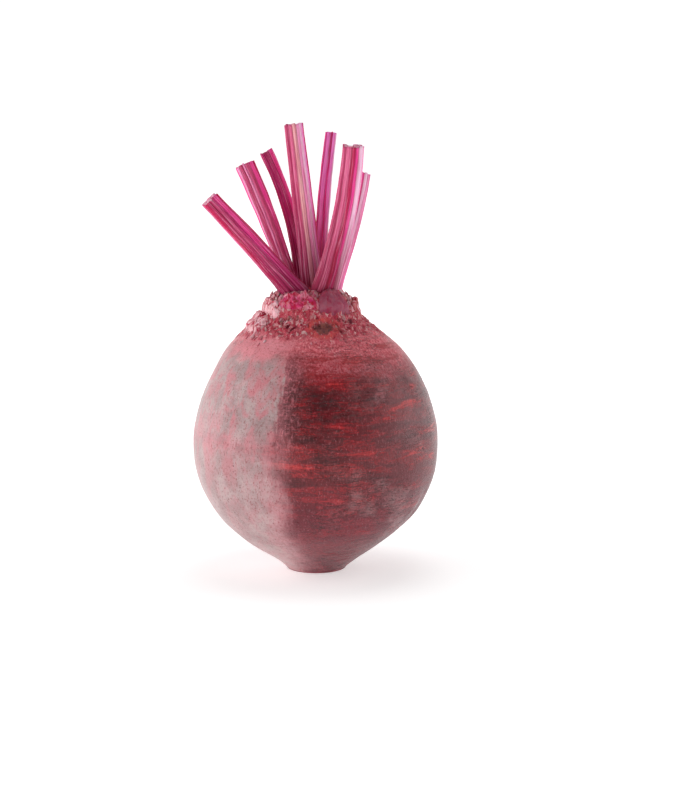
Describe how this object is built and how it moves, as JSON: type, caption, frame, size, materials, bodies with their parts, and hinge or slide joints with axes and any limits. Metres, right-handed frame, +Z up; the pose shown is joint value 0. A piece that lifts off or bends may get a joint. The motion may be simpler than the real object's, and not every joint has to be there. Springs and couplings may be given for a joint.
{
  "type": "beetroot",
  "caption": "Whole round beetroot with a rough crown, cut leaf stalks and torn leaf bases, standing on its trimmed taproot.",
  "frame": {"origin": "centre of the flat where the taproot was cut off, on which the beetroot stands", "axes": "+Z up from the flat through the crown to the stalk tips, -Y towards the front, +X to the right seen from the front"},
  "size_m": [0.091, 0.0899, 0.165],
  "materials": {
    "root_skin": "satin",
    "stalk_skin": "satin",
    "torn_flesh": "matte"
  },
  "bodies": {
    "root": {"root": "root_skin", "stalk_1": "stalk_skin", "stalk_2": "stalk_skin", "stalk_3": "stalk_skin", "stalk_4": "stalk_skin", "stalk_5": "stalk_skin", "stalk_6": "stalk_skin", "stalk_7": "stalk_skin", "leaf_base_1": "torn_flesh", "leaf_base_2": "torn_flesh", "leaf_base_3": "torn_flesh", "leaf_base_4": "torn_flesh", "leaf_base_5": "torn_flesh", "leaf_base_6": "torn_flesh", "leaf_base_7": "torn_flesh"}
  },
  "joints": []
}
